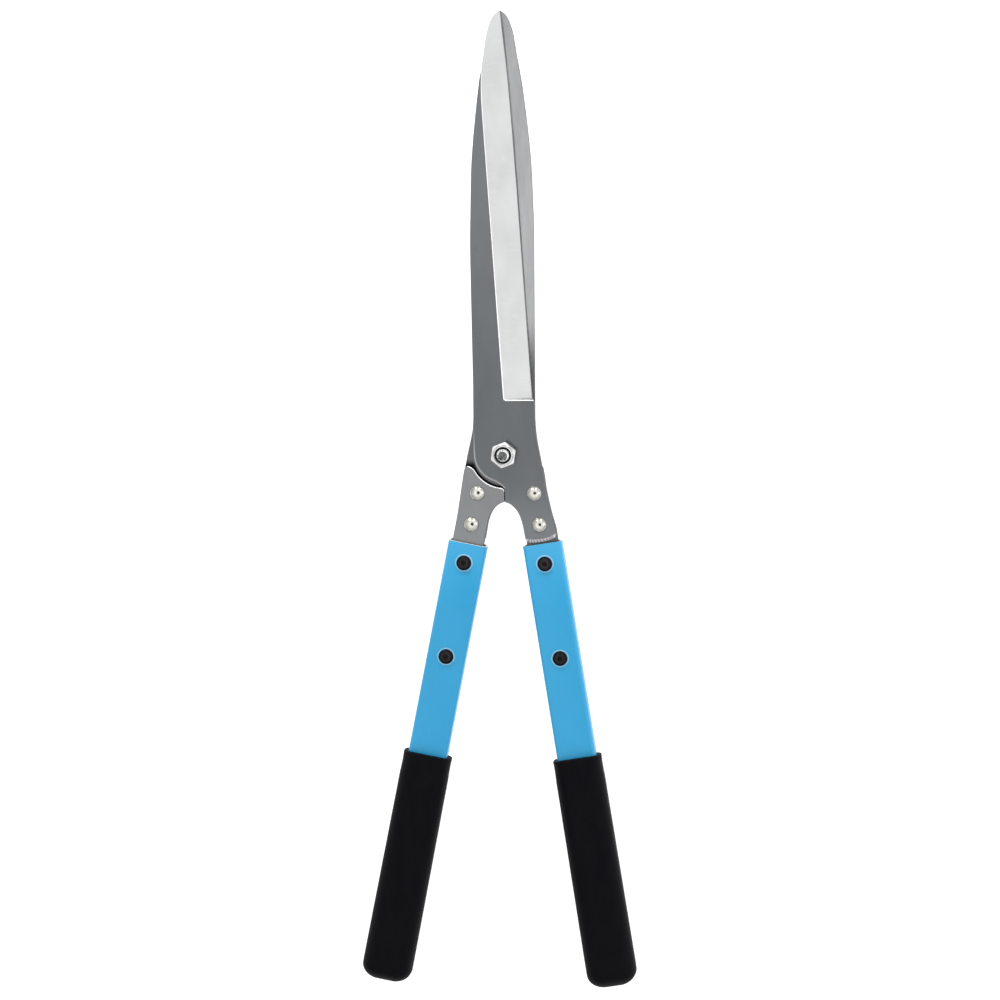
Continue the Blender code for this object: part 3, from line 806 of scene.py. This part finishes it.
def measured(node):
    """A round node's radius, bottom and top in millimetres."""
    low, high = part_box(node)
    return (high.x - low.x) / 2 / MM, low.z / MM, high.z / MM


def upright_place(node, place):
    """The frame of a screw or its nut: turned with the handle, upright through the node."""
    spot = centre(node)
    return Matrix.Translation((spot.x, spot.y, 0)) @ place.to_3x3().to_4x4()


def add_tube(side, body, place):
    """A painted rectangular tube, bare inside and, on the left, along the cut mouth."""
    low, high = extent(side + "_handle_tube", place)
    width, height = high.x - low.x, high.z - low.z

    def ring(inset, y):
        return rounded_ring(width - 2 * inset, height - 2 * inset, TUBE_CORNER - inset, y)

    length = high.y - low.y - 2 * TUBE_RIM
    rings = [ring(TUBE_RIM, low.y)]
    rings += [ring(0, low.y + TUBE_RIM + length * i / TUBE_SPANS) for i in range(TUBE_SPANS + 1)]
    rings += [ring(TUBE_RIM, high.y), ring(TUBE_WALL, high.y), ring(TUBE_WALL, low.y)]
    painted, bare = 0, 1
    mouth = bare if side == "left" else painted
    kinds = [painted] * (TUBE_SPANS + 1) + [mouth, bare, bare, bare]
    add_piece(side + "_painted_tube", ring_loft(rings, kinds), [paint, bare_metal], body,
              [side + "_handle_tube"], place, sharp=50)


def add_grip(side, body, place):
    """A slip-on grip: flared lip, soft rounded end and a slightly uneven skin."""
    low, high = extent(side + "_grip", place)
    tube_low, tube_high = extent(side + "_handle_tube", place)
    end_width, thickness = high.x - low.x, high.z - low.z
    length = high.y - low.y
    bore_width = tube_high.x - tube_low.x + GRIP_BORE_PLAY
    bore_height = tube_high.z - tube_low.z + GRIP_BORE_PLAY

    def bore(ease, y):
        return rounded_ring(bore_width + 2 * ease, bore_height + 2 * ease,
                            GRIP_BORE_CORNER + ease, y, GRIP_STEPS)

    def outer(down, inset):
        share = down / length
        across = GRIP_TOP_WIDTH + (end_width - GRIP_TOP_WIDTH) * share - 2 * inset
        height = thickness - 2 * inset
        corner = min(max(GRIP_CORNER - inset, 1.0), height / 2 - 0.2)
        return rounded_ring(across, height, corner, high.y - down, GRIP_STEPS)

    rings = [bore(0, tube_low.y - 0.5), bore(0, high.y - 0.6), bore(GRIP_BORE_EASE, high.y)]
    rings += [outer(down, inset) for down, inset in GRIP_LIP]
    stop = length - GRIP_BODY_STOP
    for i in range(GRIP_BODY_SPANS + 1):
        down = GRIP_BODY_START + (stop - GRIP_BODY_START) * i / GRIP_BODY_SPANS
        rings.append(outer(down, 0.0))
    for inset in GRIP_END_INSETS:
        near = 1 - (1 - inset / (end_width / 2)) ** GRIP_END_FULLNESS
        down = length - GRIP_END_ROUND * (1 - near ** (1 / GRIP_END_FULLNESS))
        if down > stop + 0.2:
            rings.append(outer(down, inset))
    bm = loft(rings)
    for vert in bm.verts:
        swell = abs(noise.noise(vert.co * GRIP_SWELL_SCALE)) * GRIP_SWELL * MM
        outward = Vector((vert.co.x, 0, vert.co.z))
        on_skin = outward.length > GRIP_SKIN_RADIUS * MM
        if on_skin and vert.co.y / MM < high.y - GRIP_LIP_LENGTH:
            vert.co -= outward.normalized() * swell
    add_piece(side + "_rubber_grip", bm, [black_rubber], body, [side + "_grip"],
              place, sharp=60)


def add_rivet(node, body):
    """A domed rivet head on each face, its crown a little uneven from setting."""
    radius, bottom, top = measured(node)
    spot = centre(node)
    seat = (top - bottom) / 2 - RIVET_HEAD
    profile = [(RIVET_SHANK, 0), (RIVET_SHANK, seat + 0.02), (radius - 0.25, seat + 0.02),
               (radius, seat + 0.3)]
    profile += dome_profile(radius - 0.06, RIVET_DOME, seat + 0.4, 10)
    mirrored = [(r, -z) for r, z in reversed(profile)]
    bm = loft(circles(mirrored + profile[1:], ROUND_RIVET))
    seed = Vector((spot.x * RIVET_SEED_SCALE, spot.y * RIVET_SEED_SCALE, 0))
    for vert in bm.verts:
        dent = abs(noise.noise(vert.co / MM * RIVET_DENT_SCALE + seed)) * RIVET_DENT * MM
        vert.co.z -= dent if vert.co.z > 0 else -dent
    add_piece(node + "_head", bm, [nickel], body, [node],
              Matrix.Translation(spot), sharp=50)


def add_screw(node, body, place):
    """A button-head screw with a hexagon socket and a worn crown."""
    radius, bottom, top = measured(node)
    seat = top - SCREW_HEAD
    profile = [(SCREW_SHANK - 0.5, bottom), (SCREW_SHANK, bottom + 0.5),
               (SCREW_SHANK, seat - 0.6), (SCREW_SHANK, seat), (radius - 0.2, seat),
               (radius, seat + 0.2), (radius, seat + 0.55)]
    dome = dome_profile(radius - 0.1, SCREW_DOME, seat + 0.6, 9)
    profile += [(r, z) for r, z in dome if r > SCREW_CROWN]
    crown = [(SCREW_CROWN - 0.1, top - 0.2), (2.45, top - 0.1), (2.2, top - 0.04)]
    rings = circles(profile + crown, ROUND)
    rings += [hexagon(SCREW_SOCKET + 0.3, top - 0.06, ROUND),
              hexagon(SCREW_SOCKET, top - 0.28, ROUND),
              hexagon(SCREW_SOCKET, top - SCREW_SOCKET_DEPTH, ROUND),
              circle(0.4, top - SCREW_SOCKET_DEPTH - 0.35, ROUND)]
    kinds = [0] * (len(profile) - 1) + [1] * (len(rings) - len(profile))
    add_piece(node + "_head", loft(rings, kinds), [black_oxide, worn_oxide], body,
              [node], upright_place(node, place), sharp=40)


def add_screw_nut(node, body, place):
    """A plain nut with turned corners, from its bore round and back."""
    _, low, high = measured(node)
    across, bore = SCREW_NUT_ACROSS, SCREW_NUT_BORE
    flat = across / 2 - 0.2
    rings = circles([(bore, (low + high) / 2), (bore, low + 0.5), (bore + 0.5, low),
                     (flat, low)], ROUND_PIVOT)
    rings += [hexagon(across, low, ROUND_PIVOT, 0.0, flat, -CORNER_FALL),
              hexagon(across, high, ROUND_PIVOT, 0.0, flat, CORNER_FALL)]
    rings += circles([(flat, high), (bore + 0.5, high), (bore, high - 0.5)], ROUND_PIVOT)
    add_piece(node + "_hex", ring_loft(rings), [black_oxide], body, [node],
              upright_place(node, place), sharp=25)


def add_pivot_bolt():
    """The bolt: chamfered hexagon head, shank, thread and a peened end."""
    _, _, top = measured("pivot_bolt")
    flat = BOLT_HEAD_FLAT
    rings = circles([(4.6, 0.35), (4.8, 0.0), (flat, 0.0)], ROUND_PIVOT)
    rings += [hexagon(PIVOT_ACROSS, 0.0, ROUND_PIVOT, 0.0, flat, -CORNER_FALL),
              hexagon(PIVOT_ACROSS, BOLT_HEAD, ROUND_PIVOT, 0.0, flat + 0.6, CORNER_FALL)]
    profile = [(flat, BOLT_HEAD), (BOLT_SHANK, BOLT_HEAD), (BOLT_SHANK, BOLT_SHANK_END),
               (THREAD_CREST, BOLT_SHANK_END + 1.0)]
    z = THREAD_START
    while z < top - THREAD_RUN_OUT:
        profile += [(THREAD_CREST, z), (THREAD_ROOT, z + THREAD_PITCH / 2)]
        z += THREAD_PITCH
    profile += [(THREAD_CREST, top - 1.1), (THREAD_CREST, top - 0.7), (3.9, top - 0.25),
                (THREAD_ROOT, top)]
    recess = [(2.95, top), (2.85, top - 0.2), (2.75, top - 0.45), (2.0, top - 0.45),
              (1.3, top - 0.4), (0.6, top - 0.45)]
    rings += circles(profile + recess, ROUND_PIVOT)
    for ring in rings[-len(recess):]:
        for point in ring:
            point.y -= PEEN_SHIFT * MM
    bm = loft(rings, [0] * (len(rings) - 1 - PEENED_SPANS) + [1] * PEENED_SPANS)
    for vert in bm.verts:
        in_recess = vert.co.xy.length / MM < PEEN_DENT_RADIUS
        if in_recess and vert.co.z > (top - PEEN_DENT_DEPTH) * MM:
            vert.co.z -= abs(noise.noise(vert.co / MM * PEEN_DENT_SCALE)) * PEEN_DENT * MM
    add_piece("pivot_bolt_steel", bm, [zinc, peened_zinc], REAR, ["pivot_bolt"],
              sharp=30)


def add_pivot_nut():
    """The lock nut: turned corners, a raised collar rolled over its ring."""
    _, bottom, top = measured("pivot_nut")
    flat, shoulder = NUT_FLAT, bottom + NUT_HEX_HEIGHT
    rings = circles([(NUT_BORE, bottom + 2), (NUT_BORE, bottom + 0.5), (NUT_BORE + 0.5, bottom),
                     (flat, bottom)], ROUND_PIVOT)
    rings += [hexagon(PIVOT_ACROSS, bottom, ROUND_PIVOT, NUT_TURN, flat, -CORNER_FALL),
              hexagon(PIVOT_ACROSS, shoulder, ROUND_PIVOT, NUT_TURN, flat - 0.3, NUT_CROWN_FALL)]
    collar = [(flat - 0.35, shoulder), (7.0, shoulder + 0.1), (6.9, top - 0.9),
              (6.75, top - 0.35), (6.4, top - 0.05), (6.0, top), (5.6, top - 0.1),
              (5.42, top - 0.45), (5.42, top - 0.85)]
    seat = [(LOCK_RING_RADIUS, top - 0.9), (LOCK_RING_RADIUS, bottom + LOCK_RING_SEAT),
            (NUT_BORE, bottom + LOCK_RING_SEAT)]
    rings += circles(collar + seat, ROUND_PIVOT)
    add_piece("pivot_nut_zinc", ring_loft(rings), [zinc], REAR, ["pivot_nut"],
              sharp=28)


def add_ring(name, node, look, bore, ease):
    """A washer or ring with eased edges."""
    outer, bottom, top = measured(node)
    profile = [(bore, bottom + ease), (bore + ease, bottom), (outer - ease, bottom),
               (outer, bottom + ease), (outer, top - ease), (outer - ease, top),
               (bore + ease, top), (bore, top - ease)]
    add_piece(name, ring_loft(circles(profile, ROUND_PIVOT)), [look], REAR, [node], sharp=50)


# ---------------------------------------------------------------- the shears

add_blade("front_blade", "right", FRONT, 1,
          ["pivot_bolt", "right_upper_rivet", "right_lower_rivet"])
add_blade("rear_blade", "left", REAR, -1,
          ["pivot_bolt", "left_upper_rivet", "left_lower_rivet"])
for side, body in HANDLES:
    place = handle_place(side)
    add_plate(side + "_tang_plate", body,
              [f"{side}_{level}_{kind}" for level in LEVELS for kind in ("rivet", "screw")])
    add_tube(side, body, place)
    add_grip(side, body, place)
    add_packing(side, body)
    for level in LEVELS:
        add_rivet(f"{side}_{level}_rivet", body)
        add_screw(f"{side}_{level}_screw", body, place)
        add_screw_nut(f"{side}_{level}_screw_nut", body, place)
add_pivot_bolt()
add_pivot_nut()
add_ring("pivot_washer_zinc", "pivot_washer", zinc, NUT_BORE, WASHER_EASE)
add_ring("nut_ring_nylon", "nut_lock_ring", black_nylon, LOCK_RING_BORE,
         LOCK_RING_EASE)


# ---------------------------------------------------------------- studio

def view_axes():
    """Right, up and towards-the-camera directions of the view."""
    lean = math.sin(math.radians(CAMERA_TILT))
    back = Vector((lean, lean, math.sqrt(1 - 2 * lean * lean)))
    right = Vector((0, 1, 0)).cross(back).normalized()
    up = back.cross(right)
    roll = math.radians(CAMERA_ROLL)
    return (right * math.cos(roll) - up * math.sin(roll),
            up * math.cos(roll) + right * math.sin(roll), back)


def add_camera():
    """The camera, aimed from the pivot axis halfway between the two blades."""
    right, up, back = view_axes()
    pivot = Vector((0, 0, (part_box("front_blade")[0].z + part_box("rear_blade")[1].z) / 2))
    data = bpy.data.cameras.new("camera")
    data.sensor_width = CAMERA_SENSOR
    data.lens = CAMERA_SENSOR * CAMERA_DISTANCE / VIEW_WIDTH
    data.clip_start, data.clip_end = 0.1, 100.0
    camera = bpy.data.objects.new("camera", data)
    bpy.context.scene.collection.objects.link(camera)
    turn = Matrix((right, up, back)).transposed().to_4x4()
    turn.translation = (pivot - VIEW_SHIFT[0] * right - VIEW_SHIFT[1] * up
                        + CAMERA_DISTANCE * back)
    camera.matrix_world = turn
    bpy.context.scene.camera = camera


def add_floor():
    """A plain pale floor."""
    mesh = bpy.data.meshes.new("floor")
    bm = bmesh.new()
    bmesh.ops.create_grid(bm, x_segments=1, y_segments=1, size=FLOOR_HALF)
    bm.to_mesh(mesh)
    bm.free()
    floor = bpy.data.objects.new("floor", mesh)
    floor.location.z = -FLOOR_DROP
    bpy.context.scene.collection.objects.link(floor)
    look = Look("floor_paper", (FLOOR_TONE,) * 3, 0.0, 0.9)
    look.set("Specular IOR Level", 0.1)
    look.set("Emission Color", (1.0, 1.0, 1.0, 1.0))
    look.set("Emission Strength", FLOOR_GLOW)
    mesh.materials.append(look.material)


def add_softbox(name, azimuth, elevation, size, power):
    """An area light that faces the shears."""
    a, e = math.radians(azimuth), math.radians(elevation)
    way = Vector((math.sin(a) * math.cos(e), math.cos(a) * math.cos(e), math.sin(e)))
    data = bpy.data.lights.new(name, "AREA")
    data.shape = "RECTANGLE"
    data.size, data.size_y = size
    data.energy = power
    light = bpy.data.objects.new(name, data)
    light.location = way * SOFTBOX_DISTANCE
    light.rotation_mode = "QUATERNION"
    light.rotation_quaternion = way.to_track_quat("Z", "Y")
    bpy.context.scene.collection.objects.link(light)


def add_world():
    """A pale tent of light: dark where the lens looks in, dimmer towards the horizon."""
    world = bpy.data.worlds.new("studio")
    world.use_nodes = True
    tree = world.node_tree
    way = tree.nodes.new("ShaderNodeTexCoord")
    dot = tree.nodes.new("ShaderNodeVectorMath")
    dot.operation = "DOT_PRODUCT"
    dot.inputs[1].default_value = LENS_WAY.normalized()
    ramp = tree.nodes.new("ShaderNodeValToRGB")
    stops = ramp.color_ramp.elements
    stops[0].position, stops[1].position = TENT[0][0], TENT[-1][0]
    stops[0].color = (*[TENT[0][1]] * 3, 1.0)
    stops[1].color = (*[TENT[-1][1]] * 3, 1.0)
    for position, value in TENT[1:-1]:
        stops.new(position).color = (value, value, value, 1.0)
    background = tree.nodes["Background"]
    background.inputs["Strength"].default_value = TENT_STRENGTH
    tree.links.new(way.outputs["Generated"], dot.inputs[0])
    tree.links.new(dot.outputs["Value"], ramp.inputs["Fac"])
    tree.links.new(ramp.outputs["Color"], background.inputs["Color"])
    bpy.context.scene.world = world


add_camera()
add_floor()
add_world()
for softbox in SOFTBOXES:
    add_softbox(*softbox)
bpy.context.scene.view_settings.view_transform = "Standard"
